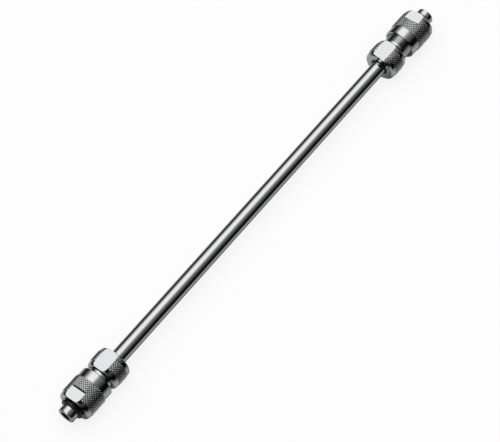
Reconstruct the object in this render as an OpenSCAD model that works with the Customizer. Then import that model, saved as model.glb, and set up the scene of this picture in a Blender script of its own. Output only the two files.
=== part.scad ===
// HPLC column, 250 mm class, with hand-tightened swivel end fittings.
// The column lies along X. Z is up and the surface it lies on is Z = 0.
// The outlet end is at -X and the inlet end, with the guard cartridge, at +X.
// Every end piece is drawn in the end frame: its axis is Z and its height is
// the distance from the middle of the tube.

/* [Column tube] */
// Length of the steel tube
tube_length = 250; // [120:5:300]
// Outside diameter of the tube
tube_d = 8; // [7:0.1:8.4]
// Bore that holds the packing
bore_d = 4; // [2:0.1:4.4]
// Diameter of the counterbore in each tube end
counterbore_d = 5.6; // [5:0.1:6]
// Depth of the counterbore
counterbore_depth = 5.4; // [4.6:0.1:6]
// Plain land between the tube end and the ring groove
land_length = 6.4; // [6.2:0.1:9]
// Width of the ring groove
groove_width = 2.7; // [1.5:0.1:4]
// Depth of the ring groove
groove_depth = 0.5; // [0.3:0.05:0.7]

/* [Frit and packing] */
// Diameter of the sintered frit
frit_d = 4.7; // [4.5:0.1:5]
// Thickness of the frit and its ring
frit_thickness = 1.6; // [1:0.1:2]

/* [End insert] */
// Diameter of the insert's body
insert_d = 8; // [7.6:0.1:8.6]
// Length of the insert's body
insert_length = 7.4; // [7:0.1:8]
// Diameter of the nose that enters the counterbore
insert_nose_d = 5.4; // [4.8:0.1:5.5]
// Radius of the nose's rounded tip
insert_nose_round = 0.9; // [0.3:0.1:1.2]
// Diameter of the open cup that takes the guard cartridge
cup_d = 6.36; // [5.6:0.02:6.6]
// Depth of the cup
cup_depth = 5.2; // [4.8:0.1:5.6]
// Flow channel through the insert
channel_d = 0.8; // [0.4:0.1:1.2]

/* [Seal and guard cartridge] */
// Thickness of the seal at the bottom of the cup
seal_thickness = 0.5; // [0.3:0.1:0.8]
// Length of the guard cartridge in the inlet cup
guard_length = 4; // [2:0.5:4]

/* [Union] */
// Diameter over the knurled collar
collar_d = 18.4; // [17:0.1:20]
// Length of the collar
collar_length = 11.4; // [10:0.2:14]
// Plain taper at each end of the collar
collar_taper = 2.55; // [1.5:0.05:3]
// Distance from the collar's inner face to the shoulder that holds the split ring
shoulder_depth = 10.85; // [8:0.05:12]
// Diameter over the thread
thread_d = 14; // [13:0.1:15]
// Length of the thread
thread_length = 9.4; // [7:0.1:11]
// Pitch of the thread
thread_pitch = 1; // [0.75:0.25:1.5]
// Width of the thread relief behind the collar
relief_width = 2.4; // [1:0.1:3]
// Depth of the thread relief
relief_depth = 0.5; // [0.2:0.1:0.8]
// Diameter of the plain lead-in at the open end
lead_d = 12; // [11:0.1:12.2]
// Length of the plain lead-in
lead_length = 2.9; // [1:0.1:3]
// Large bore for the insert and the split ring
union_bore_d = 9.16; // [9:0.02:9.6]

/* [Cap nut] */
// Diameter over the knurl
nut_d = 18.6; // [17:0.1:20]
// Length of the nut
nut_length = 17.5; // [16.5:0.1:19]
// Thickness of the nut's end wall
nut_wall = 1.4; // [1:0.1:2]
// Diameter of the plain band at the mouth
mouth_d = 17.6; // [16.6:0.1:17.8]
// Length of the plain band at the mouth
mouth_length = 5; // [3:0.1:6]
// Plain taper between the knurl and the end face
nut_taper = 2.3; // [1.5:0.05:3]
// Length of the spanner flats, from the end face
nut_flat_length = 6.6; // [4:0.1:7]

/* [Knurl and flats] */
// Distance between two spanner flats
across_flats = 16; // [15:0.5:17]
// Pitch of the diamond knurl, along and around
knurl_pitch = 1.45; // [1:0.05:2]
// Height of the knurl's diamonds
knurl_depth = 0.4; // [0.2:0.05:0.5]

/* [Connector] */
// Diameter of the nipple
nipple_d = 9; // [8:0.1:10]
// How far the nipple stands out of the nut
nipple_length = 5.9; // [4:0.1:8]
// Diameter of the flange inside the nut
flange_d = 12.2; // [11:0.1:12.4]
// Thickness of the flange
flange_thickness = 1.6; // [1:0.1:2]
// Length of the spigot that enters the insert's cup
spigot_length = 5; // [4.8:0.1:6]
// Diameter of the capillary port's tapped hole, over the thread
port_d = 4.8; // [3.5:0.1:5]
// Depth of the tapped hole
port_depth = 6.5; // [5:0.1:8]
// Diameter of the countersink at the port's mouth
port_mouth_d = 5.4; // [5.2:0.1:6]
// Diameter of the seat for the capillary's end
pilot_d = 1.6; // [1:0.1:2]
// Depth of the seat
pilot_depth = 2; // [1:0.1:3]
// Capillary hole
capillary_d = 0.5; // [0.3:0.1:0.8]

/* [O-ring] */
// Cross-section of the O-ring on the nipple
oring_cord = 2; // [1.5:0.1:2.4]
// Depth of its groove in the nipple
oring_groove_depth = 0.35; // [0.2:0.05:0.5]

/* [Fits] */
// Radial clearance of a turning or sliding fit
running_gap = 0.08; // [0.02:0.01:0.1]
// Clearance of a piece that is put in by hand
loose_gap = 0.05; // [0.02:0.01:0.1]
// Axial clearance between pieces that turn on each other
end_gap = 0.05; // [0.02:0.01:0.2]

/* [Hidden] */
$fn = 96;
eps = 0.01;
outlet = -1;
inlet = 1;
edge_break = 0.3;
insert_gap = 0.4;
guard_wall = 1.1;
split_gap_deg = 4;
mouth_chamfer = 0.35;
chamber_gap = 0.3;
chamber_wall = 0.3;
thread_chamfer = 0.5;
thread_steps = 36;
face_chamfer = 0.7;
oring_face_gap = 0.15;
plain_drop = 0.25;
taper_drop = 0.25;

// Places along the axis, from the middle of the tube
tube_end = tube_length / 2;
groove_outer = tube_end - land_length;
groove_inner = groove_outer - groove_width;
counterbore_floor = tube_end - counterbore_depth;
frit_face = counterbore_floor + frit_thickness;
insert_base = tube_end + insert_gap;
insert_rim = insert_base + insert_length;
cup_floor = insert_rim - cup_depth;
seal_face = cup_floor + seal_thickness;
ring_inner = groove_inner + loose_gap;
ring_outer = groove_outer - loose_gap;
shoulder = ring_inner - end_gap;
collar_inner = shoulder - shoulder_depth;
collar_outer = collar_inner + collar_length;
relief_end = collar_outer + relief_width;
thread_end = relief_end + thread_length;
union_end = thread_end + lead_length;

// Places that move out with the guard cartridge in the inlet
function stack(side) = side == inlet ? guard_length : 0;
function spigot_tip(side) = seal_face + stack(side) + end_gap;
function flange_face(side) = spigot_tip(side) + spigot_length;
function flange_back(side) = flange_face(side) + flange_thickness;
function nut_floor(side) = flange_back(side) + end_gap;
function nut_face(side) = nut_floor(side) + nut_wall;
function nut_mouth(side) = nut_face(side) - nut_length;
function nipple_end(side) = nut_face(side) + nipple_length;

// The part's frame: the middle of the whole length is X = 0
tube_mid_x = (nipple_end(outlet) - nipple_end(inlet)) / 2;
axis_z = max(nut_d, collar_d) / 2;
knurl_root = knurl_depth + 0.2;
thread_depth = 0.55 * thread_pitch;

module end_frame(side) {
    translate([tube_mid_x, 0, axis_z]) rotate([0, 90 * side, 0]) children();
}

// A turned solid from its half section: pairs of radius and height
module turned(section) {
    rotate_extrude() polygon(section);
}

module ring(outer_r, inner_r, from, to) {
    turned([[inner_r, from], [outer_r, from], [outer_r, to], [inner_r, to]]);
}

// Diamond knurl: a solid roller of pyramids, from height 0
module knurl(crest_r, length) {
    count = 4 * round(PI * crest_r / (2 * knurl_pitch));
    cols = 2 * count;
    rows = 2 * round(length / knurl_pitch);
    root_r = crest_r - knurl_depth;
    points = [
        for (j = [0:rows], i = [0:cols - 1])
            let (raised = j > 0 && j < rows && (i + j) % 2 == 1)
            let (r = raised ? crest_r : root_r)
            [r * cos(360 * i / cols), r * sin(360 * i / cols), length * j / rows]
    ];
    sides = [
        for (j = [0:rows - 1], i = [0:cols - 1])
            let (n = (i + 1) % cols)
            let (a = j * cols + i, b = j * cols + n)
            let (c = a + cols, d = b + cols)
            each (i + j) % 2 == 0 ? [[a, d, b], [a, c, d]] : [[a, c, b], [b, c, d]]
    ];
    bottom = [for (i = [0:cols - 1]) i];
    top = [for (i = [cols - 1:-1:0]) rows * cols + i];
    polyhedron(points = points, faces = concat(sides, [bottom, top]));
}

// Right-hand screw with a V thread: a solid roller, from height 0
module screw(crest_r, root_r, pitch, turns) {
    last = thread_steps * turns;
    side = last + 1;
    function helix(r, lift) = [
        for (k = [0:last])
            let (a = 360 * k / thread_steps)
            [r * cos(a), r * sin(a), pitch * (a / 360 + lift)]
    ];
    points = concat(helix(root_r, 0), helix(crest_r, 0.5), [[0, 0, 0], [0, 0, pitch * turns]]);
    foot = 2 * side;
    head = foot + 1;
    lower = [for (k = [0:last - 1]) each [[k, side + k, side + k + 1], [k, side + k + 1, k + 1]]];
    upper = [
        for (k = [0:last - thread_steps - 1])
            let (a = side + k, c = k + thread_steps)
            each [[a, c, c + 1], [a, c + 1, a + 1]]
    ];
    bottom = [for (k = [0:thread_steps - 1]) [foot, k, k + 1]];
    top = [for (k = [last - thread_steps:last - 1]) [head, side + k + 1, side + k]];
    steps = [
        [foot, thread_steps, side, 0],
        [head, side + last - thread_steps, last, side + last]
    ];
    polyhedron(points = points, faces = concat(lower, upper, bottom, top, steps));
}

// Removes what lies beyond the two spanner flats
module flats(from, to, r) {
    for (turn = [0, 180])
        rotate([0, 0, turn])
            translate([across_flats / 2, -r, from])
                cube([r, 2 * r, to - from]);
}

module column_tube() {
    r = tube_d / 2;
    groove_r = r - groove_depth;
    half = [
        [r, groove_inner], [groove_r, groove_inner], [groove_r, groove_outer], [r, groove_outer],
        [r, tube_end - edge_break], [r - edge_break, tube_end],
        [counterbore_d / 2 + edge_break, tube_end], [counterbore_d / 2, tube_end - edge_break],
        [counterbore_d / 2, counterbore_floor], [bore_d / 2, counterbore_floor]
    ];
    other = [for (i = [len(half) - 1:-1:0]) [half[i][0], -half[i][1]]];
    color("silver") end_frame(inlet) turned(concat(half, other));
}

module packed_bed() {
    color("white") end_frame(inlet)
        translate([0, 0, -counterbore_floor])
            cylinder(d = bore_d - 2 * loose_gap, h = 2 * counterbore_floor);
}

module frit(side) {
    color("gray") end_frame(side)
        translate([0, 0, counterbore_floor]) cylinder(d = frit_d, h = frit_thickness);
}

module frit_ring(side) {
    color("wheat") end_frame(side)
        ring(counterbore_d / 2 - loose_gap, frit_d / 2 + loose_gap, counterbore_floor, frit_face);
}

// Plug with a rounded nose in the tube and an open cup towards the cap
module end_insert(side) {
    r = insert_d / 2;
    nose_r = insert_nose_d / 2;
    channel_r = channel_d / 2;
    tip = [
        for (a = [0:15:90])
            [
                nose_r - insert_nose_round + insert_nose_round * sin(a),
                frit_face + insert_nose_round - insert_nose_round * cos(a)
            ]
    ];
    body = [
        [nose_r, insert_base], [r - edge_break, insert_base], [r, insert_base + edge_break],
        [r, insert_rim - edge_break], [r - edge_break, insert_rim],
        [cup_d / 2 + edge_break, insert_rim], [cup_d / 2, insert_rim - edge_break],
        [cup_d / 2, cup_floor], [channel_r, cup_floor]
    ];
    color("silver") end_frame(side) turned(concat([[channel_r, frit_face]], tip, body));
}

module cup_seal(side) {
    color("ivory") end_frame(side)
        ring(cup_d / 2 - loose_gap, channel_d / 2, cup_floor, seal_face);
}

// One half of the two-piece ring that locks the union on the tube
module split_ring(side, turn) {
    inner_r = tube_d / 2 - groove_depth + loose_gap;
    outer_r = union_bore_d / 2 - running_gap;
    sweep = 180 - split_gap_deg;
    section = [[inner_r, ring_inner], [outer_r, ring_inner], [outer_r, ring_outer], [inner_r, ring_outer]];
    color("silver") end_frame(side)
        rotate([0, 0, turn + split_gap_deg / 2]) rotate_extrude(angle = sweep) polygon(section);
}

// Knurled collar with a threaded sleeve, turned from one bar
module union_body(side) {
    r = collar_d / 2;
    plain_r = r - plain_drop;
    under_r = r - knurl_root;
    knurl_from = collar_inner + collar_taper;
    knurl_to = collar_outer - collar_taper;
    relief_r = thread_d / 2 - relief_depth;
    root_r = thread_d / 2 - thread_depth;
    core_r = root_r - edge_break;
    clear_r = thread_d / 2 + edge_break;
    thread_space = [
        [0, relief_end], [relief_r, relief_end], [clear_r, relief_end + clear_r - relief_r],
        [clear_r, thread_end - clear_r + lead_d / 2], [lead_d / 2, thread_end], [0, thread_end]
    ];
    outside = [
        [0, collar_inner], [plain_r - 2 * face_chamfer + taper_drop, collar_inner],
        [plain_r - taper_drop, collar_inner + face_chamfer], [plain_r, knurl_from],
        [under_r, knurl_from], [under_r, knurl_to], [plain_r, knurl_to],
        [plain_r - taper_drop, collar_outer - face_chamfer],
        [plain_r - face_chamfer, collar_outer], [relief_r, collar_outer], [relief_r, relief_end],
        [core_r, relief_end], [core_r, thread_end], [lead_d / 2, thread_end], [lead_d / 2, union_end - edge_break],
        [lead_d / 2 - edge_break, union_end], [0, union_end]
    ];
    small_r = tube_d / 2 + running_gap;
    bore = [
        [0, collar_inner - eps], [small_r + face_chamfer + eps, collar_inner - eps],
        [small_r, collar_inner + face_chamfer], [small_r, shoulder], [union_bore_d / 2, shoulder],
        [union_bore_d / 2, union_end - edge_break],
        [union_bore_d / 2 + edge_break + eps, union_end + eps], [0, union_end + eps]
    ];
    color("silver") end_frame(side) difference() {
        union() {
            turned(outside);
            translate([0, 0, knurl_from]) knurl(r, knurl_to - knurl_from);
            intersection() {
                translate([0, 0, relief_end - thread_pitch])
                    screw(thread_d / 2, root_r, thread_pitch, ceil(thread_length / thread_pitch) + 2);
                turned(thread_space);
            }
        }
        turned(bore);
        flats(collar_inner - 1, collar_outer + relief_width / 2, collar_d);
    }
}

// Nipple with the capillary port, a flange for the nut and a sealing spigot
module connector(side) {
    r = nipple_d / 2;
    tip = spigot_tip(side);
    spigot_r = cup_d / 2 - running_gap;
    groove_r = r - oring_groove_depth;
    groove_from = nut_face(side);
    groove_to = groove_from + 2 * oring_face_gap + oring_cord;
    end = nipple_end(side);
    mouth_depth = (port_mouth_d - port_d) / 2;
    port_floor = end - port_depth;
    cone_depth = (port_d - pilot_d) / 2;
    outside = [
        [0, tip], [spigot_r - edge_break, tip], [spigot_r, tip + edge_break],
        [spigot_r, flange_face(side)], [flange_d / 2, flange_face(side)],
        [flange_d / 2, flange_back(side)], [r, flange_back(side)], [r, groove_from],
        [groove_r, groove_from], [groove_r, groove_to], [r, groove_to],
        [r, end - edge_break], [r - edge_break, end], [0, end]
    ];
    port = [
        [0, tip - eps], [capillary_d / 2, tip - eps],
        [capillary_d / 2, port_floor - cone_depth - pilot_depth],
        [pilot_d / 2, port_floor - cone_depth - pilot_depth], [pilot_d / 2, port_floor - cone_depth],
        [port_d / 2, port_floor], [port_d / 2, end - mouth_depth],
        [port_mouth_d / 2 + eps, end + eps], [0, end + eps]
    ];
    color("silver") end_frame(side) difference() {
        turned(outside);
        turned(port);
    }
}

module oring(side) {
    r = oring_cord / 2;
    color("black") end_frame(side)
        translate([0, 0, nut_face(side) + oring_face_gap + r])
            rotate_extrude() translate([nipple_d / 2 - oring_groove_depth + r, 0]) circle(r);
}

// Knurled nut that turns on the connector and screws on the union
module cap_nut(side) {
    r = nut_d / 2;
    plain_r = r - plain_drop;
    under_r = r - knurl_root;
    mouth = nut_mouth(side);
    face = nut_face(side);
    knurl_from = mouth + mouth_length;
    knurl_to = face - nut_taper;
    outside = [
        [0, mouth], [mouth_d / 2 - mouth_chamfer, mouth], [mouth_d / 2, mouth + mouth_chamfer],
        [mouth_d / 2, knurl_from], [under_r, knurl_from], [under_r, knurl_to], [plain_r, knurl_to],
        [plain_r - taper_drop, face - face_chamfer], [plain_r - face_chamfer, face], [0, face]
    ];
    thread_r = thread_d / 2 + running_gap;
    chamber_r = flange_d / 2 + chamber_gap;
    chamber_from = face - nut_flat_length - chamber_wall;
    thread_to = chamber_from - abs(thread_r - chamber_r);
    hole_r = nipple_d / 2 + running_gap;
    bore = [
        [0, mouth - eps], [thread_r + thread_chamfer + eps, mouth - eps],
        [thread_r, mouth + thread_chamfer], [thread_r, thread_to],
        [chamber_r, chamber_from], [chamber_r, nut_floor(side)],
        [hole_r, nut_floor(side)], [hole_r, face + eps], [0, face + eps]
    ];
    color("silver") end_frame(side) difference() {
        union() {
            turned(outside);
            translate([0, 0, knurl_from]) knurl(r, knurl_to - knurl_from);
        }
        turned(bore);
        flats(face - nut_flat_length, face + 1, nut_d);
    }
}

module guard_cartridge() {
    color("wheat") end_frame(inlet)
        ring(cup_d / 2 - loose_gap, cup_d / 2 - loose_gap - guard_wall, seal_face, seal_face + guard_length);
}

module guard_bed() {
    color("white") end_frame(inlet)
        translate([0, 0, seal_face])
            cylinder(r = cup_d / 2 - guard_wall - 2 * loose_gap, h = guard_length);
}

column_tube();
packed_bed();
frit(outlet);  // frit_outlet
frit_ring(outlet);  // frit_ring_outlet
end_insert(outlet);  // end_insert_outlet
cup_seal(outlet);  // cup_seal_outlet
split_ring(outlet, 0);  // split_ring_a_outlet
split_ring(outlet, 180);  // split_ring_b_outlet
union_body(outlet);  // union_outlet
connector(outlet);  // connector_outlet
oring(outlet);  // oring_outlet
cap_nut(outlet);  // cap_nut_outlet
frit(inlet);  // frit_inlet
frit_ring(inlet);  // frit_ring_inlet
end_insert(inlet);  // end_insert_inlet
cup_seal(inlet);  // cup_seal_inlet
split_ring(inlet, 0);  // split_ring_a_inlet
split_ring(inlet, 180);  // split_ring_b_inlet
union_body(inlet);  // union_inlet
connector(inlet);  // connector_inlet
oring(inlet);  // oring_inlet
cap_nut(inlet);  // cap_nut_inlet
guard_cartridge();
guard_bed();
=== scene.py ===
"""Looks of an HPLC column with hand-tightened swivel end fittings.

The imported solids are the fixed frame. This script gives them their finishes, adds the
inner threads of the nuts and ports, and sets up a small studio with the camera.
"""
import logging
import math
from dataclasses import dataclass, replace
from enum import Enum
from typing import Any

import bpy
import numpy as np
from mathutils import Matrix, Vector


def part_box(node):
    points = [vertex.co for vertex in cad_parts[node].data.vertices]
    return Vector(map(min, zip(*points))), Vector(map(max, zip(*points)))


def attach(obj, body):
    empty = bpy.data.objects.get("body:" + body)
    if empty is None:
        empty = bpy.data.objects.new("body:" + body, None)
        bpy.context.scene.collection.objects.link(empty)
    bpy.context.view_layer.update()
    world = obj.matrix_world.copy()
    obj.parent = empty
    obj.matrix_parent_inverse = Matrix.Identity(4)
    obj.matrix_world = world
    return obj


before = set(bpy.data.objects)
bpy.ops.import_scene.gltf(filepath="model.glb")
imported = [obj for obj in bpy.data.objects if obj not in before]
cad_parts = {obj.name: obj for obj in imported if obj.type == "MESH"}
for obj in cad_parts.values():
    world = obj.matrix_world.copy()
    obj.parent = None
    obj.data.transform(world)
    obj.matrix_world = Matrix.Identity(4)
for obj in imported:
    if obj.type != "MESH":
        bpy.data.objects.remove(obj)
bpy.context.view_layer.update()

MM = 0.001
WHITE = (1.0, 1.0, 1.0, 1.0)
Tree = bpy.types.NodeTree
Socket = bpy.types.NodeSocket
log = logging.getLogger("hplc_column")


class Side(Enum):
    """The two ends of the column. The value is the direction of the outward axis along X."""

    OUTLET = -1
    INLET = 1

    @property
    def tag(self) -> str:
        """The ending of this side's node names."""
        return self.name.lower()


# ---------------------------------------------------------------------------
# Colours and nodes
# ---------------------------------------------------------------------------


def linear(code: str) -> tuple[float, float, float, float]:
    """Turns an sRGB hex colour to linear RGBA.

    Args:
        code: Six hex digits after a hash, such as "#C8C9CA".

    Returns:
        Linear red, green, blue and an alpha of 1.
    """
    srgb = [int(code[i : i + 2], 16) / 255 for i in (1, 3, 5)]
    rgb = [c / 12.92 if c <= 0.04045 else ((c + 0.055) / 1.055) ** 2.4 for c in srgb]
    return rgb[0], rgb[1], rgb[2], 1.0


def add(tree: Tree, kind: str, settings: dict[str, Any] | None = None,
        **links: Any) -> bpy.types.Node:
    """Adds a node, sets it and links it.

    Args:
        tree: The node tree that gets the node.
        kind: The node's type, such as "ShaderNodeMath".
        settings: Node properties by name.
        **links: Inputs, as i0, i1 and so on by place or by name with _ for a space. A value
            is a socket to link from, or a plain value for the socket.

    Returns:
        The new node.
    """
    node = tree.nodes.new(kind)
    for name, value in (settings or {}).items():
        setattr(node, name, value)
    for name, value in links.items():
        key = int(name[1:]) if name[0] == "i" and name[1:].isdigit() else name.replace("_", " ")
        socket = node.inputs[key]
        if isinstance(value, Socket):
            tree.links.new(value, socket)
        else:
            socket.default_value = value
    return node


# ---------------------------------------------------------------------------
# Sizes read from the frame, in mm
# ---------------------------------------------------------------------------

TUBE_LOW, TUBE_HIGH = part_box("column_tube")
TUBE_MID_X = (TUBE_LOW.x + TUBE_HIGH.x) / 2 / MM
AXIS_Z = (TUBE_LOW.z + TUBE_HIGH.z) / 2 / MM


def reach(node: str, side: Side) -> tuple[float, float]:
    """Tells where a node starts and ends along its side's outward axis.

    Args:
        node: The CAD node's name.
        side: The end of the column that the node belongs to.

    Returns:
        The nearest and the farthest distance from the tube's middle, in mm.
    """
    ends = sorted(side.value * (corner.x / MM - TUBE_MID_X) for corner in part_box(node))
    return ends[0], ends[1]


def placed(points: np.ndarray, side: Side) -> np.ndarray:
    """Takes points from an end's lathe frame to the row frame.

    The lathe frame has its Z along the outward axis, from the tube's middle:
    row x = middle + side * z, row y = y, row z = axis height - side * x.

    Args:
        points: An array of shape (n, 3), in mm.
        side: The end of the column.

    Returns:
        An array of the same shape, in metres.
    """
    x = TUBE_MID_X + side.value * points[:, 2]
    z = AXIS_Z - side.value * points[:, 0]
    return np.column_stack((x, points[:, 1], z)) * MM


# ---------------------------------------------------------------------------
# Finishes
# ---------------------------------------------------------------------------


class Lay(Enum):
    """Which way the fine marks of making run on a metal piece."""

    ALONG = "drawn and polished along the axis"
    AROUND = "turned round the axis"


@dataclass(frozen=True)
class Axial:
    """A surface point's place about the column's axis, as sockets, in mm.

    place is the vector from the tube's middle and along is its part along the axis. out is
    the distance along the axis, height the distance above or below it and radius the
    distance from it. outward is a unit vector that points straight away from the axis.
    """

    place: Socket
    out: Socket
    along: Socket
    height: Socket
    radius: Socket
    outward: Socket

    @classmethod
    def of(cls, tree: Tree) -> "Axial":
        """Builds the sockets in a material's node tree.

        Args:
            tree: The node tree.

        Returns:
            The sockets.
        """
        place = add(tree, "ShaderNodeTexCoord").outputs["Object"]
        sized = add(tree, "ShaderNodeVectorMath", {"operation": "SCALE"}, i0=place, Scale=1 / MM)
        centred = add(tree, "ShaderNodeVectorMath", {"operation": "SUBTRACT"},
                      i0=sized.outputs[0], i1=(TUBE_MID_X, 0.0, AXIS_Z))
        parts = add(tree, "ShaderNodeSeparateXYZ", i0=centred.outputs[0])
        out = add(tree, "ShaderNodeMath", {"operation": "ABSOLUTE"}, i0=parts.outputs["X"])
        height = add(tree, "ShaderNodeMath", {"operation": "ABSOLUTE"}, i0=parts.outputs["Z"])
        flat = add(tree, "ShaderNodeVectorMath", {"operation": "MULTIPLY"},
                   i0=centred.outputs[0], i1=(0.0, 1.0, 1.0))
        radius = add(tree, "ShaderNodeVectorMath", {"operation": "LENGTH"}, i0=flat.outputs[0])
        outward = add(tree, "ShaderNodeVectorMath", {"operation": "NORMALIZE"}, i0=flat.outputs[0])
        return cls(centred.outputs[0], out.outputs[0], parts.outputs["X"], height.outputs[0],
                   radius.outputs["Value"], outward.outputs[0])


def within(tree: Tree, value: Socket, low: float, high: float) -> Socket:
    """Tells whether a value lies between two limits.

    Args:
        tree: The material's node tree.
        value: The value's socket.
        low: The lower limit.
        high: The upper limit.

    Returns:
        A socket that is 1 inside and 0 outside.
    """
    middle, half = (low + high) / 2, (high - low) / 2
    return add(tree, "ShaderNodeMath", {"operation": "COMPARE"},
               i0=value, i1=middle, i2=half).outputs[0]


@dataclass(frozen=True)
class Zone:
    """A band of a turned piece with its own painted shade or highlight, in mm from the tube's middle
    and the axis.

    The tone is a factor on the metal's colour, inner_tone at inner_r and outer_tone at
    outer_r: below 1 it is painted shade, above 1 a painted highlight. The piece's spanner
    flats, at flat_height from the axis, keep their tone. With least_height, only what lies
    that far above or below the axis has the tone. burnish is how far handling has rounded
    the tops of a knurl over to the plain turned surface, up to 1. It starts at the share
    wear_from of the knurl's depth and is full at wear_to.
    helical marks a thread, whose facets are shaded as the round thread that they stand for.
    """

    start: float
    end: float
    inner_r: float
    outer_r: float
    inner_tone: float
    outer_tone: float
    flat_height: float = 0.0
    least_height: float = 0.0
    burnish: float = 0.0
    wear_from: float = 0.35
    wear_to: float = 0.5
    helical: bool = False
    slack: float = 0.02

    def inside(self, tree: Tree, axial: Axial) -> Socket:
        """Tells whether a point is in the zone.

        Args:
            tree: The material's node tree.
            axial: The surface point's place.

        Returns:
            A socket that is 1 inside and 0 outside.
        """
        band = within(tree, axial.out, self.start, self.end)
        ring = within(tree, axial.radius, self.inner_r - self.slack, self.outer_r + self.slack)
        inside = add(tree, "ShaderNodeMath", {"operation": "MULTIPLY"}, i0=band, i1=ring).outputs[0]
        if self.flat_height:
            low, high = self.flat_height - self.slack, self.flat_height + self.slack
            flat = within(tree, axial.height, low, high)
            inside = add(tree, "ShaderNodeMath", {"operation": "GREATER_THAN"},
                         i0=inside, i1=flat).outputs[0]
        if self.least_height:
            high_up = within(tree, axial.height, self.least_height, self.outer_r + self.slack)
            inside = add(tree, "ShaderNodeMath", {"operation": "MULTIPLY"},
                         i0=inside, i1=high_up).outputs[0]
        return inside

    def tone(self, tree: Tree, axial: Axial) -> Socket:
        """Builds the zone's tone, its painted shade or highlight.

        Args:
            tree: The material's node tree.
            axial: The surface point's place.

        Returns:
            A socket of the factor on the colour.
        """
        shade = add(tree, "ShaderNodeMapRange", Value=axial.radius,
                    From_Min=self.inner_r, From_Max=self.outer_r,
                    To_Min=self.inner_tone - 1, To_Max=self.outer_tone - 1)
        return add(tree, "ShaderNodeMath", {"operation": "MULTIPLY_ADD"},
                   i0=shade.outputs[0], i1=self.inside(tree, axial), i2=1.0).outputs[0]

    def worn(self, tree: Tree, axial: Axial) -> Socket:
        """Builds the share of wear, from none in the roots to burnish on the crests.

        Args:
            tree: The material's node tree.
            axial: The surface point's place.

        Returns:
            A socket of the share.
        """
        depth = self.outer_r - self.inner_r
        top = add(tree, "ShaderNodeMapRange", {"interpolation_type": "SMOOTHSTEP"},
                  Value=axial.radius, From_Min=self.inner_r + self.wear_from * depth,
                  From_Max=self.inner_r + self.wear_to * depth, To_Max=self.burnish)
        return add(tree, "ShaderNodeMath", {"operation": "MULTIPLY"},
                   i0=top.outputs[0], i1=self.inside(tree, axial)).outputs[0]

    def facing(self, tree: Tree, axial: Axial, normal: Socket) -> Socket:
        """Corrects the normal on worn knurl crests and on the facets of a cut thread.

        A worn crest points straight away from the axis. A thread's facet keeps its slope
        along the axis and turns round the axis to where the true helix points: its normal
        (x, s) becomes (x, |s| * outward), where s is the part square to the axis.

        Args:
            tree: The material's node tree.
            axial: The surface point's place.
            normal: The normal before the zone.

        Returns:
            A socket of the normal after the zone.
        """
        if not (self.burnish or self.helical):
            return normal
        to_world = {"vector_type": "NORMAL", "convert_from": "OBJECT", "convert_to": "WORLD"}
        outward = add(tree, "ShaderNodeVectorTransform", to_world, i0=axial.outward)
        goal, share = outward, self.worn(tree, axial) if self.burnish else self.inside(tree, axial)
        if self.helical:
            square = add(tree, "ShaderNodeVectorMath", {"operation": "MULTIPLY"},
                         i0=normal, i1=(0.0, 1.0, 1.0))
            length = add(tree, "ShaderNodeVectorMath", {"operation": "LENGTH"}, i0=square.outputs[0])
            side = add(tree, "ShaderNodeVectorMath", {"operation": "SCALE"},
                       i0=outward.outputs[0], Scale=length.outputs["Value"])
            goal = add(tree, "ShaderNodeVectorMath", {"operation": "MULTIPLY_ADD"},
                       i0=normal, i1=(1.0, 0.0, 0.0), i2=side.outputs[0])
        turned = add(tree, "ShaderNodeMix", {"data_type": "VECTOR"},
                     Factor=share, i4=normal, i5=goal.outputs[0])
        return add(tree, "ShaderNodeVectorMath", {"operation": "NORMALIZE"},
                   i0=turned.outputs[1]).outputs[0]


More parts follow.
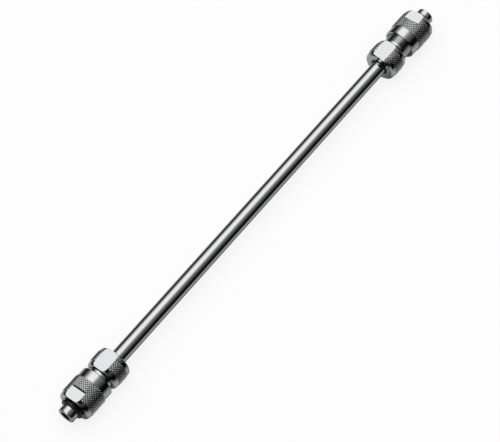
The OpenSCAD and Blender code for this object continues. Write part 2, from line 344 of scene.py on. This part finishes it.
@dataclass(frozen=True)
class Steel:
    """Stainless steel AISI 316 with the marks of how its surface was made.

    The metal is a neutral grey mirror. Its tool marks show as a soft stretch of the
    reflections and as faint lines. Real marks are two to five times finer than mark_mm,
    and are drawn this coarse so that they show. The zones paint shade into the colour,
    and roughen it, where shade falls, such as knurl roots, thread roots, bores and
    drilled holes. They paint a highlight on the knurl crests, which wear has rounded.
    """

    name: str
    colour: str
    lay: Lay
    roughness: float
    mark_mm: float
    mark_depth_mm: float
    zones: tuple[Zone, ...] = ()
    mark_length_mm: float = 40.0
    mark_shade: float = 0.92
    mark_detail: float = 3.0
    smudge_mm: float = 6.0
    smudge_detail: float = 2.0
    roughness_spread: tuple[float, float] = (0.8, 1.25)
    roughness_in_painted_shade: float = 0.25

    def material(self) -> bpy.types.Material:
        """Builds the material.

        Returns:
            The new material.
        """
        material = bpy.data.materials.new(self.name)
        material.use_nodes = True
        tree = material.node_tree
        shader = tree.nodes["Principled BSDF"]
        shader.inputs["Metallic"].default_value = 1.0
        axial = Axial.of(tree)
        marks = self.marks(tree, axial)
        clean = linear(self.colour)
        marked = (*(channel * self.mark_shade for channel in clean[:3]), 1.0)
        tint = add(tree, "ShaderNodeMix", {"data_type": "RGBA"}, Factor=marks, i6=clean, i7=marked)
        smudge = add(tree, "ShaderNodeTexNoise", Vector=axial.place, Scale=1 / self.smudge_mm,
                     Detail=self.smudge_detail)
        least, most = (share * self.roughness for share in self.roughness_spread)
        rough = add(tree, "ShaderNodeMapRange", Value=smudge.outputs["Fac"], To_Min=least, To_Max=most)
        # The zones' tone is painted shade in roots, bores, holes and corners and a painted highlight on
        # knurl crests; the metal is rougher where the shade is painted.
        tone = self.tone(tree, axial)
        shaded = add(tree, "ShaderNodeVectorMath", {"operation": "SCALE"},
                     i0=tint.outputs[2], Scale=tone)
        dull = add(tree, "ShaderNodeMapRange", Value=tone, To_Min=self.roughness_in_painted_shade, To_Max=0.0)
        rougher = add(tree, "ShaderNodeMath", {"operation": "ADD"},
                      i0=rough.outputs[0], i1=dull.outputs[0])
        normal = add(tree, "ShaderNodeNewGeometry").outputs["Normal"]
        for zone in self.zones:
            normal = zone.facing(tree, axial, normal)
        bump = add(tree, "ShaderNodeBump", Height=marks, Distance=self.mark_depth_mm * MM,
                   Strength=1.0, Normal=normal)
        tree.links.new(shaded.outputs[0], shader.inputs["Base Color"])
        tree.links.new(rougher.outputs[0], shader.inputs["Roughness"])
        tree.links.new(bump.outputs[0], shader.inputs["Normal"])
        return material

    def marks(self, tree: Tree, axial: Axial) -> Socket:
        """Builds the height of the tool marks.

        Args:
            tree: The material's node tree.
            axial: The surface point's place.

        Returns:
            A socket of the height, from 0 to 1.
        """
        if self.lay is Lay.ALONG:
            scale = (1 / self.mark_length_mm, 1 / self.mark_mm, 1 / self.mark_mm)
            place = add(tree, "ShaderNodeVectorMath", {"operation": "MULTIPLY"},
                        i0=axial.place, i1=scale)
        else:
            rings = add(tree, "ShaderNodeCombineXYZ", i0=axial.along, i1=axial.radius)
            place = add(tree, "ShaderNodeVectorMath", {"operation": "SCALE"},
                        i0=rings.outputs[0], Scale=1 / self.mark_mm)
        noise = add(tree, "ShaderNodeTexNoise", Vector=place.outputs[0], Scale=1.0,
                    Detail=self.mark_detail)
        return noise.outputs["Fac"]

    def tone(self, tree: Tree, axial: Axial) -> Socket | float:
        """Multiplies the tones of the zones, their painted shade and highlights.

        Args:
            tree: The material's node tree.
            axial: The surface point's place.

        Returns:
            A socket of the factor on the colour, or 1 where there are no zones.
        """
        total: Socket | float = 1.0
        for zone in self.zones:
            total = add(tree, "ShaderNodeMath", {"operation": "MULTIPLY"},
                        i0=total, i1=zone.tone(tree, axial)).outputs[0]
        return total


@dataclass(frozen=True)
class Compound:
    """A plain non-metal: moulded, machined, packed or sintered, with a fine grain."""

    name: str
    dark: str
    light: str
    roughness: float
    grain_mm: float
    grain_depth_mm: float
    ior: float
    grain_detail: float = 4.0
    roughness_spread: tuple[float, float] = (0.85, 1.15)

    def material(self) -> bpy.types.Material:
        """Builds the material.

        Returns:
            The new material.
        """
        material = bpy.data.materials.new(self.name)
        material.use_nodes = True
        tree = material.node_tree
        shader = tree.nodes["Principled BSDF"]
        shader.inputs["IOR"].default_value = self.ior
        grain = add(tree, "ShaderNodeTexNoise", Vector=Axial.of(tree).place,
                    Scale=1 / self.grain_mm, Detail=self.grain_detail).outputs["Fac"]
        colour = add(tree, "ShaderNodeMix", {"data_type": "RGBA"}, Factor=grain,
                     i6=linear(self.dark), i7=linear(self.light))
        least, most = (share * self.roughness for share in self.roughness_spread)
        rough = add(tree, "ShaderNodeMapRange", Value=grain, To_Min=least, To_Max=most)
        bump = add(tree, "ShaderNodeBump", Height=grain, Distance=self.grain_depth_mm * MM,
                   Strength=1.0)
        tree.links.new(colour.outputs[2], shader.inputs["Base Color"])
        tree.links.new(rough.outputs[0], shader.inputs["Roughness"])
        tree.links.new(bump.outputs[0], shader.inputs["Normal"])
        return material


# Drawn and polished lengthways: long bright bands with hair-fine lines along the tube.
DRAWN_TUBE = Steel("drawn_316_tube", "#D8D9DA", Lay.ALONG, 0.1, 0.15, 0.0006)
# Turned with a fine feed: clear reflections, a little stretched across the feed rings.
TURNED_STEEL = Steel("turned_316_steel", "#D8D9DA", Lay.AROUND, 0.1, 0.12, 0.0005)
# Turned, then rolled with a diamond knurl and milled flat: bright flats, sparkling diamonds.
KNURLED_STEEL = Steel("knurled_316_steel", "#D8D9DA", Lay.AROUND, 0.1, 0.12, 0.0005)
# Sintered from powder: a matt grey disc with a grain like fine sandpaper.
SINTERED_STEEL = Compound("sintered_316_frit", "#4B4A48", "#8A8885", 0.6, 0.05, 0.01, 1.5)
# Machined from rod: an even tan with a silky sheen.
PEEK = Compound("machined_peek", "#B9A27C", "#C6B18D", 0.45, 0.3, 0.002, 1.65)
# Moulded polyethylene: milky white and waxy.
SEAL = Compound("moulded_uhmw_polyethylene", "#E4E2DA", "#EFEDE6", 0.4, 0.4, 0.001, 1.54)
# Silica powder, slurry packed: chalk white and quite dull.
SILICA = Compound("packed_silica", "#E9E8E4", "#F6F5F2", 0.9, 0.05, 0.01, 1.45)
# Moulded nitrile rubber: deep black with one soft highlight.
NITRILE = Compound("moulded_nitrile_rubber", "#050505", "#0B0B0C", 0.3, 0.08, 0.0006, 1.52)


def dress(node: str, finish: Steel | Compound) -> None:
    """Gives a CAD node its finish.

    Args:
        node: The node's name.
        finish: The finish.
    """
    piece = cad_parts[node]
    material = bpy.data.materials.get(finish.name) or finish.material()
    for place in piece.material_slots:
        place.material = material
    log.info("dressed %s with %s", node, finish.name)


# ---------------------------------------------------------------------------
# Inner threads
# ---------------------------------------------------------------------------


@dataclass
class InnerThread:
    """The ridge of a right-hand internal thread, in mm from the tube's middle.

    base_share and tip_share are the ridge's widths as shares of the pitch. sink is how far
    its foot goes into the wall. It grows over grow_turns, from the share least_growth.
    """

    wall_r: float
    tip_r: float
    pitch: float
    start: float
    end: float
    phase: float
    base_share: float = 0.92
    tip_share: float = 0.12
    sink: float = 0.02
    grow_turns: float = 0.5
    least_growth: float = 0.02
    steps: int = 48

    def mesh(self, name: str, side: Side) -> bpy.types.Mesh:
        """Carries the ridge's profile along the helix.

        A point of the profile with radius r and offset h lies, at angle a, at
        (r cos a, r sin a, phase + pitch * a / 2 pi + h). The ridge's height grows from
        nearly nothing over the first turns and goes back over the last.

        Args:
            name: The mesh's name.
            side: The end of the column.

        Returns:
            A closed mesh.
        """
        first = math.ceil((self.start - self.phase) / self.pitch + self.base_share / 2)
        last = (self.end - self.phase) / self.pitch - self.base_share / 2
        count = int((last - first) * self.steps)
        turns = first + np.arange(count + 1) / self.steps
        from_ends = np.minimum(turns - first, last - turns)
        growth = np.clip(from_ends / self.grow_turns, self.least_growth, 1)
        base = self.base_share * self.pitch / 2
        tip = self.tip_share * self.pitch / 2
        offsets = np.array([-base, -tip, tip, base])
        low = self.wall_r + self.sink
        high = self.wall_r - growth * (self.wall_r - self.tip_r)
        foot = np.full_like(high, low)
        radii = np.column_stack((foot, high, high, foot))
        angle = (2 * np.pi * turns)[:, None]
        ridge = np.stack((radii * np.cos(angle), radii * np.sin(angle),
                          self.phase + self.pitch * turns[:, None] + offsets[None, :]), axis=2)
        points = placed(ridge.reshape(-1, 3), side)
        corners = len(offsets)
        step = np.arange(count)[:, None] * corners
        corner = np.arange(corners)[None, :]
        following = (corner + 1) % corners
        quads = np.stack((step + corner, step + corners + corner,
                          step + corners + following, step + following), axis=2)
        first_cap = list(range(corners))
        last_cap = [corners * count + place for place in reversed(first_cap)]
        mesh = bpy.data.meshes.new(name)
        mesh.from_pydata(points.tolist(), [], quads.reshape(-1, 4).tolist() + [first_cap, last_cap])
        mesh.validate()
        return mesh


def new_piece(name: str, mesh: bpy.types.Mesh, finish: Steel | Compound, body: str) -> bpy.types.Object:
    """Makes an object of a mesh and sets it riding on a body.

    Args:
        name: The piece's name.
        mesh: Its mesh, in the row frame.
        finish: Its finish.
        body: The CAD body that it moves with.

    Returns:
        The new object.
    """
    piece = bpy.data.objects.new(name, mesh)
    bpy.context.scene.collection.objects.link(piece)
    mesh.materials.append(bpy.data.materials.get(finish.name) or finish.material())
    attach(piece, body)
    log.info("built %s: %d faces, on %s", name, len(mesh.polygons), body)
    return piece


# ---------------------------------------------------------------------------
# The column's sub-assemblies
# ---------------------------------------------------------------------------


@dataclass
class PackedTube:
    """The steel tube with its silica bed and the guard cartridge."""

    def build(self) -> None:
        """Dresses the pieces between the two end fittings."""
        dress("column_tube", DRAWN_TUBE)
        dress("packed_bed", SILICA)
        dress("guard_cartridge", PEEK)
        dress("guard_bed", SILICA)


@dataclass
class EndFitting:
    """One end: union, cap nut, connector and the sealing parts. Sizes are in mm.

    shoulder_line and relief_line are how wide the painted shade is in the corner of a
    flat's shoulder and of the thread relief. seam is how far a zone goes past an edge, and
    past how far it goes beyond an open end. The painted shades and the painted highlight
    are factors on the metal's colour.
    """

    side: Side
    flat_height: float = 8.0
    nut_flat_length: float = 6.6
    shoulder_line: float = 0.6
    knurl_depth: float = 0.4
    burnish: float = 1.0
    collar_length: float = 11.4
    collar_taper: float = 2.55
    collar_r: float = 9.2
    entry_r: float = 4.9
    entry_depth: float = 0.75
    relief_width: float = 2.4
    relief_line: float = 0.35
    mouth_length: float = 5.0
    nut_taper: float = 2.3
    nut_r: float = 9.3
    thread_pitch: float = 1.0
    thread_d: float = 14.0
    thread_play: float = 0.08
    thread_depth: float = 0.55
    tip_clearance: float = 0.12
    thread_and_lead: float = 12.3
    nut_chamfer: float = 0.5
    nut_thread_depth: float = 9.8
    port_d: float = 4.8
    port_minor_d: float = 4.15
    port_mouth_r: float = 2.7
    port_pitch: float = 0.79375
    port_depth: float = 6.5
    port_chamfer: float = 0.3
    port_steps: int = 32
    hole_depth: float = 9.0
    seam: float = 0.02
    past: float = 0.1
    # Factors on the metal's colour: painted shade in knurl and thread roots, bores, the tapped hole and
    # corners, and a painted highlight on knurl crests.
    knurl_root_painted_shade: float = 0.65
    knurl_crest_painted_highlight: float = 1.15
    thread_root_painted_shade: float = 0.7
    relief_line_painted_shade: float = 0.12
    shoulder_painted_shade: float = 0.05
    bore_painted_shade: float = 0.1
    hole_painted_shade: float = 0.06

    def build(self) -> None:
        """Dresses the CAD nodes and adds the inner threads."""
        tag = self.side.tag
        dress(f"union_{tag}", self.union_steel())
        dress(f"cap_nut_{tag}", self.nut_steel())
        dress(f"connector_{tag}", self.connector_steel())
        for part in ("end_insert", "split_ring_a", "split_ring_b"):
            dress(f"{part}_{tag}", TURNED_STEEL)
        dress(f"frit_{tag}", SINTERED_STEEL)
        dress(f"frit_ring_{tag}", PEEK)
        dress(f"cup_seal_{tag}", SEAL)
        dress(f"oring_{tag}", NITRILE)
        self.nut_thread()
        self.port_thread()

    def knurl_zone(self, start: float, end: float, crest_r: float) -> Zone:
        """Describes a knurled band: painted shade in its roots, worn crests with a painted highlight.

        Args:
            start: Where the knurl starts.
            end: Where the knurl ends.
            crest_r: The radius over the knurl.

        Returns:
            The zone.
        """
        return Zone(start, end, crest_r - self.knurl_depth, crest_r, self.knurl_root_painted_shade,
                    self.knurl_crest_painted_highlight, flat_height=self.flat_height, burnish=self.burnish)

    def union_steel(self) -> Steel:
        """Describes the union's metal: its knurl, and painted shade in the tube entry, relief and
        thread.

        Returns:
            The finish.
        """
        collar, union_end = reach(f"union_{self.side.tag}", self.side)
        collar_end = collar + self.collar_length
        relief_end = collar_end + self.relief_width
        crest_r = self.thread_d / 2
        knurl = self.knurl_zone(collar + self.collar_taper, collar_end - self.collar_taper,
                                self.collar_r)
        # Painted shade in the tube's entry, in the relief's corner by the collar and in the thread
        # roots.
        entry = Zone(collar - self.past, collar + self.entry_depth, 0.0, self.entry_r,
                     self.bore_painted_shade, self.bore_painted_shade)
        relief = Zone(collar_end - self.seam, collar_end + self.relief_line, 0.0, crest_r,
                      self.relief_line_painted_shade, self.relief_line_painted_shade)
        thread = Zone(relief_end, union_end, crest_r - self.thread_depth, crest_r,
                      self.thread_root_painted_shade, 1.0, helical=True)
        return replace(KNURLED_STEEL, name=f"knurled_316_union_{self.side.tag}",
                       zones=(knurl, entry, relief, thread))

    def nut_steel(self) -> Steel:
        """Describes the cap nut's metal: its knurl, and painted shade in its bore and shoulders.

        Returns:
            The finish.
        """
        mouth, face = reach(f"cap_nut_{self.side.tag}", self.side)
        bore_r = self.thread_d / 2 + self.thread_play + self.nut_chamfer
        step = face - self.nut_flat_length
        knurl = self.knurl_zone(mouth + self.mouth_length, face - self.nut_taper, self.nut_r)
        # Painted shade inside the bore and in the corner of the flats' shoulders.
        bore = Zone(mouth - self.past, face - self.past, 0.0, bore_r, self.bore_painted_shade, self.bore_painted_shade)
        shoulder = Zone(step - self.seam, step + self.shoulder_line, self.flat_height, self.nut_r,
                        self.shoulder_painted_shade, self.shoulder_painted_shade,
                        least_height=self.flat_height - self.seam)
        return replace(KNURLED_STEEL, name=f"knurled_316_nut_{self.side.tag}",
                       zones=(knurl, bore, shoulder))

    def connector_steel(self) -> Steel:
        """Describes the connector's metal, with painted shade in its tapped hole.

        Returns:
            The finish.
        """
        _, end = reach(f"connector_{self.side.tag}", self.side)
        # Painted shade in the tapped hole.
        hole = Zone(end - self.hole_depth, end + self.past, 0.0, self.port_mouth_r,
                    self.hole_painted_shade, self.hole_painted_shade)
        return replace(TURNED_STEEL, name=f"turned_316_connector_{self.side.tag}", zones=(hole,))

    def nut_thread(self) -> None:
        """Adds the nut's inner thread, in mesh with the union's."""
        tag = self.side.tag
        mouth, _ = reach(f"cap_nut_{tag}", self.side)
        _, union_end = reach(f"union_{tag}", self.side)
        ridge = InnerThread(
            wall_r=self.thread_d / 2 + self.thread_play,
            tip_r=self.thread_d / 2 - self.thread_depth + self.tip_clearance,
            pitch=self.thread_pitch,
            start=mouth + self.nut_chamfer,
            end=mouth + self.nut_thread_depth,
            phase=union_end - self.thread_and_lead,
        )
        name = f"nut_thread_{tag}"
        new_piece(name, ridge.mesh(name, self.side), self.nut_steel(), f"nut_body_{tag}")

    def port_thread(self) -> None:
        """Adds the inner thread of the capillary port, 32 turns to the inch."""
        tag = self.side.tag
        _, end = reach(f"connector_{tag}", self.side)
        ridge = InnerThread(
            wall_r=self.port_d / 2,
            tip_r=self.port_minor_d / 2,
            pitch=self.port_pitch,
            start=end - self.port_depth,
            end=end - self.port_chamfer,
            phase=end - self.port_depth,
            steps=self.port_steps,
        )
        name = f"port_thread_{tag}"
        new_piece(name, ridge.mesh(name, self.side), self.connector_steel(),
                  f"connector_body_{tag}")


# ---------------------------------------------------------------------------
# Studio
# ---------------------------------------------------------------------------


@dataclass
class View:
    """The camera: a long lens above the outlet's side, with the column across the frame.

    The lens centre is placed from the middle of the tube. The column's axis leans away
    from the picture plane by lean_deg and lies climb_deg above the picture's level.
    turn_deg turns the set about the column's axis.
    """

    picture_px: int = 500
    focal_px: float = 1943.2
    sensor_mm: float = 36.0
    distance_mm: float = 963.3
    right_mm: float = 1.54
    up_mm: float = 6.77
    lean_deg: float = 21.86
    climb_deg: float = 48.16
    turn_deg: float = 27.4
    near_m: float = 0.05
    far_m: float = 20.0

    def axes(self) -> Matrix:
        """Works out the camera's axes in the row frame.

        The row's X in the camera is (cos l cos c, cos l sin c, -sin l) for the lean l and
        the climb c. The row's Z is sin t * u + cos t * w for the turn t, where
        u = (-sin c, cos c, 0) and w = (sin l cos c, sin l sin c, cos l).

        Returns:
            A rotation from camera axes to row axes.
        """
        lean, climb, turn = (math.radians(a) for a in (self.lean_deg, self.climb_deg, self.turn_deg))
        level = Vector((math.cos(climb), math.sin(climb), 0.0))
        row_x = level * math.cos(lean) - Vector((0.0, 0.0, math.sin(lean)))
        across = Vector((-math.sin(climb), math.cos(climb), 0.0))
        towards = level * math.sin(lean) + Vector((0.0, 0.0, math.cos(lean)))
        row_z = across * math.sin(turn) + towards * math.cos(turn)
        return Matrix((row_x, row_z.cross(row_x), row_z))

    def build(self) -> None:
        """Makes the camera and sets it as the scene's."""
        axes = self.axes()
        middle = Vector((TUBE_MID_X, 0.0, AXIS_Z))
        place = middle - axes @ Vector((self.right_mm, self.up_mm, -self.distance_mm))
        lens = bpy.data.cameras.new("camera")
        lens.sensor_width = self.sensor_mm
        lens.lens = self.focal_px * self.sensor_mm / self.picture_px
        lens.clip_start = self.near_m
        lens.clip_end = self.far_m
        camera = bpy.data.objects.new("camera", lens)
        camera.matrix_world = Matrix.Translation(place * MM) @ axes.to_4x4()
        bpy.context.scene.collection.objects.link(camera)
        bpy.context.scene.camera = camera
        log.info("camera at %s", tuple(round(c, 4) for c in camera.location))


# The cloth's glowing tone by the distance behind the column's axis, in mm (minus is in front).
# It is pale beside the column and black further to the front, which draws the black line on
# the tube. The low tones from -10 to 0, under the column, are its shadow on the table,
# painted into the glow. The grey at the back lights the upper edge of each round piece.
CLOTH_TONES = {-90: 0.002, -62: 0.006, -48: 0.03, -38: 0.08, -28: 0.25, -20: 0.37, -13: 0.45,
               -10: 0.36, -8: 0.18, -6: 0.1, -3: 0.12, 0: 0.24, 9: 0.36, 14: 0.48, 22: 0.6,
               37: 0.5, 55: 0.33, 90: 0.17, 320: 0.05}

# The tent's tone by the angle above the table, in degrees from the front: 90 is overhead and
# 180 is level behind. Its top is white, its front falls off slowly and its back quickly.
TENT_TONES = {0: 0.002, 8: 0.002, 16: 0.008, 31: 0.058, 47: 0.135, 60: 0.24, 70: 0.44, 78: 0.84,
              84: 0.98, 108: 1.0, 120: 0.93, 130: 0.56, 143: 0.16, 156: 0.028, 180: 0.008}


@dataclass
class Studio:
    """A white table in a light tent, set up for polished metal. Sizes are in mm.

    The tent and the cloth on the table glow and show only in the metal, as painted
    reflections. They give a cylinder its bands: a broad white one from overhead, a grey
    fall-off and a black gap towards the front, and the pale cloth below, with the
    column's shadow painted into it. A dark hood hangs in the tent round lens_side, the
    direction of the lens from the column. It keeps the face that looks at the lens from
    going flat white. It is full within hood_from of that place and ends at hood_to.
    """

    table: float = 8000.0
    table_glow: float = 0.82
    table_shadow_grey: float = 0.22
    table_plain_grey: float = 0.8
    world_fill: float = 0.55
    world_white: float = 1.0
    softbox: float = 700.0
    softbox_height: float = 800.0
    softbox_watts: float = 1.6
    cloth: float = 5200.0
    cloth_lift: float = 0.2
    tent_r: float = 2500.0
    tent_rings: int = 24
    tent_steps: int = 64
    tent_glow: float = 1.25
    hood_glow: float = 0.02
    lens_side: tuple[float, float, float] = (-0.372, -0.421, 0.827)
    hood_from: float = 900.0
    hood_to: float = 1700.0

    def build(self) -> None:
        """Builds the table, the lights, the tent and the cloth."""
        self.world()
        self.floor()
        self.lamp()
        self.tent()
        self.glowing_cloth()
        bpy.context.scene.view_settings.view_transform = "Standard"

    def seen(self, tree: Tree) -> Socket:
        """Tells camera, glossy and transmission rays from the others.

        Args:
            tree: A material's or the world's node tree.

        Returns:
            A socket that is 1 for a ray that sees the background.
        """
        rays = add(tree, "ShaderNodeLightPath")
        sight = add(tree, "ShaderNodeMath", {"operation": "MAXIMUM"},
                    i0=rays.outputs["Is Camera Ray"], i1=rays.outputs["Is Glossy Ray"])
        return add(tree, "ShaderNodeMath", {"operation": "MAXIMUM"},
                   i0=sight.outputs[0], i1=rays.outputs["Is Transmission Ray"]).outputs[0]

    def world(self) -> None:
        """Makes the world: white where it is seen, a soft fill elsewhere."""
        world = bpy.data.worlds.new("studio")
        bpy.context.scene.world = world
        world.use_nodes = True
        tree = world.node_tree
        strength = add(tree, "ShaderNodeMapRange", Value=self.seen(tree),
                       To_Min=self.world_fill, To_Max=self.world_white)
        shade = tree.nodes["Background"]
        shade.inputs["Color"].default_value = WHITE
        tree.links.new(strength.outputs[0], shade.inputs["Strength"])

    def floor(self) -> None:
        """Makes the table: white where it is seen, with the column's shadow."""
        table = self.sheet("table", self.table, 0.0)
        tree = self.stage_tree(table, "white_table")
        shadow_grey = (*[self.table_shadow_grey] * 3, 1.0)
        plain_grey = (*[self.table_plain_grey] * 3, 1.0)
        glow = add(tree, "ShaderNodeEmission", Color=WHITE, Strength=self.table_glow)
        soft = add(tree, "ShaderNodeBsdfDiffuse", Color=shadow_grey)
        plain = add(tree, "ShaderNodeBsdfDiffuse", Color=plain_grey)
        bright = add(tree, "ShaderNodeAddShader", i0=glow.outputs[0], i1=soft.outputs[0])
        mixed = add(tree, "ShaderNodeMixShader", i0=self.seen(tree),
                    i1=plain.outputs[0], i2=bright.outputs[0])
        add(tree, "ShaderNodeOutputMaterial", Surface=mixed.outputs[0])

    def stage_tree(self, piece: bpy.types.Object, name: str) -> Tree:
        """Gives a stage piece a new material.

        Args:
            piece: The stage piece.
            name: The material's name.

        Returns:
            The material's node tree, which is empty.
        """
        material = bpy.data.materials.new(name)
        material.use_nodes = True
        material.node_tree.nodes.clear()
        piece.data.materials.append(material)
        return material.node_tree

    def sheet(self, name: str, side: float, height: float) -> bpy.types.Object:
        """Makes a square stage piece that lies level.

        Args:
            name: The piece's name.
            side: The length of its side, in mm.
            height: Its height, in mm.

        Returns:
            The new object.
        """
        half = side / 2
        corners = np.array([[-half, -half, height], [half, -half, height],
                            [half, half, height], [-half, half, height]]) * MM
        return self.staged(name, corners, [[0, 1, 2, 3]])

    def staged(self, name: str, points: np.ndarray, faces: list[list[int]]) -> bpy.types.Object:
        """Makes a stage piece.

        Args:
            name: The piece's name.
            points: Its points, in metres.
            faces: Its faces, as lists of point numbers.

        Returns:
            The new object.
        """
        mesh = bpy.data.meshes.new(name)
        mesh.from_pydata(points.tolist(), [], faces)
        piece = bpy.data.objects.new(name, mesh)
        bpy.context.scene.collection.objects.link(piece)
        return piece

    def only_in_metal(self, piece: bpy.types.Object) -> None:
        """Lets only glossy rays see a stage piece."""
        piece.visible_camera = False
        piece.visible_diffuse = False
        piece.visible_shadow = False
        piece.visible_transmission = False

    def lamp(self) -> None:
        """Hangs the softbox over the column. The tent's white top is its image in the metal."""
        light = bpy.data.lights.new("softbox", "AREA")
        light.shape = "SQUARE"
        light.size = self.softbox * MM
        light.energy = self.softbox_watts
        lamp = bpy.data.objects.new("softbox", light)
        lamp.location = (0.0, 0.0, self.softbox_height * MM)
        lamp.visible_glossy = False
        bpy.context.scene.collection.objects.link(lamp)

    def glowing_cloth(self) -> None:
        """Lays the graded, glowing cloth on the table, with the column's shadow painted into it."""
        cloth = self.sheet("cloth", self.cloth, self.cloth_lift)
        tree = self.stage_tree(cloth, "graded_cloth")
        place = add(tree, "ShaderNodeTexCoord").outputs["Object"]
        parts = add(tree, "ShaderNodeSeparateXYZ", i0=place)
        share = add(tree, "ShaderNodeMapRange", Value=parts.outputs["Y"],
                    From_Min=min(CLOTH_TONES) * MM, From_Max=max(CLOTH_TONES) * MM)
        strips = add(tree, "ShaderNodeValToRGB", i0=share.outputs[0])
        self.grade(strips.color_ramp, CLOTH_TONES)
        shade = add(tree, "ShaderNodeEmission", Color=strips.outputs[0], Strength=1.0)
        add(tree, "ShaderNodeOutputMaterial", Surface=shade.outputs[0])
        self.only_in_metal(cloth)

    def tent(self) -> None:
        """Raises the tent, a half sphere with its tones in strips along the column.

        A point lies at r (cos b cos a, cos b sin a, sin b) for the bearing a and height b.
        Its strip is the angle of (z, -y), in the plane square to the column.
        """
        rings, steps = self.tent_rings, self.tent_steps
        bearing, height = np.meshgrid(np.linspace(0, 2 * np.pi, steps, endpoint=False),
                                      np.linspace(0, np.pi / 2, rings, endpoint=False))
        level = np.cos(height)
        points = np.column_stack(((level * np.cos(bearing)).ravel(), (level * np.sin(bearing)).ravel(),
                                  np.sin(height).ravel()))
        points = np.vstack((points, [[0.0, 0.0, 1.0]])) * self.tent_r * MM
        ring, step = (grid.ravel() for grid in np.meshgrid(np.arange(rings - 1), np.arange(steps),
                                                           indexing="ij"))
        start, following = ring * steps + step, ring * steps + (step + 1) % steps
        quads = np.column_stack((start, following, following + steps, start + steps))
        last = np.arange(steps) + (rings - 1) * steps
        cap = np.column_stack((last, np.roll(last, -1), np.full(steps, rings * steps)))
        tent = self.staged("tent", points, quads.tolist() + cap.tolist())
        tree = self.stage_tree(tent, "graded_tent")
        place = add(tree, "ShaderNodeTexCoord").outputs["Object"]
        parts = add(tree, "ShaderNodeSeparateXYZ", i0=place)
        forward = add(tree, "ShaderNodeMath", {"operation": "MULTIPLY"}, i0=parts.outputs["Y"], i1=-1.0)
        climb = add(tree, "ShaderNodeMath", {"operation": "ARCTAN2"},
                    i0=parts.outputs["Z"], i1=forward.outputs[0])
        share = add(tree, "ShaderNodeMath", {"operation": "DIVIDE"}, i0=climb.outputs[0], i1=math.pi)
        strips = add(tree, "ShaderNodeValToRGB", i0=share.outputs[0])
        self.grade(strips.color_ramp, TENT_TONES)
        shade = add(tree, "ShaderNodeEmission", Color=strips.outputs[0],
                    Strength=self.hood(tree, place))
        add(tree, "ShaderNodeOutputMaterial", Surface=shade.outputs[0])
        self.only_in_metal(tent)

    def hood(self, tree: Tree, place: Socket) -> Socket:
        """Builds the tent's strength, which is low in the hood round the lens.

        Args:
            tree: The tent's node tree.
            place: The tent point's place.

        Returns:
            A socket of the strength.
        """
        lens = tuple(Vector(self.lens_side).normalized() * self.tent_r * MM)
        away = add(tree, "ShaderNodeVectorMath", {"operation": "DISTANCE"}, i0=place, i1=lens)
        return add(tree, "ShaderNodeMapRange", {"interpolation_type": "SMOOTHSTEP"},
                   Value=away.outputs["Value"], From_Min=self.hood_from * MM,
                   From_Max=self.hood_to * MM, To_Min=self.hood_glow,
                   To_Max=self.tent_glow).outputs[0]

    def grade(self, ramp: bpy.types.ColorRamp, tones: dict[int, float]) -> None:
        """Sets a ramp's grey tones.

        Args:
            ramp: The ramp, which runs from the least place to the greatest.
            tones: The tone at each place, from the least place on.
        """
        first, last = min(tones), max(tones)
        for place, tone in tones.items():
            stop = ramp.elements[0] if place == first else ramp.elements[-1]
            if first < place < last:
                stop = ramp.elements.new((place - first) / (last - first))
            stop.color = (tone, tone, tone, 1.0)


def main() -> None:
    """Builds the studio and the column's looks."""
    logging.basicConfig(level=logging.INFO, format="%(name)s: %(message)s")
    View().build()
    Studio().build()
    PackedTube().build()
    EndFitting(Side.OUTLET).build()
    # The painted shade by the inlet's collar is wider than by the outlet's.
    inlet_relief_line = 1.15
    EndFitting(Side.INLET, relief_line=inlet_relief_line).build()


if __name__ == "__main__":
    main()
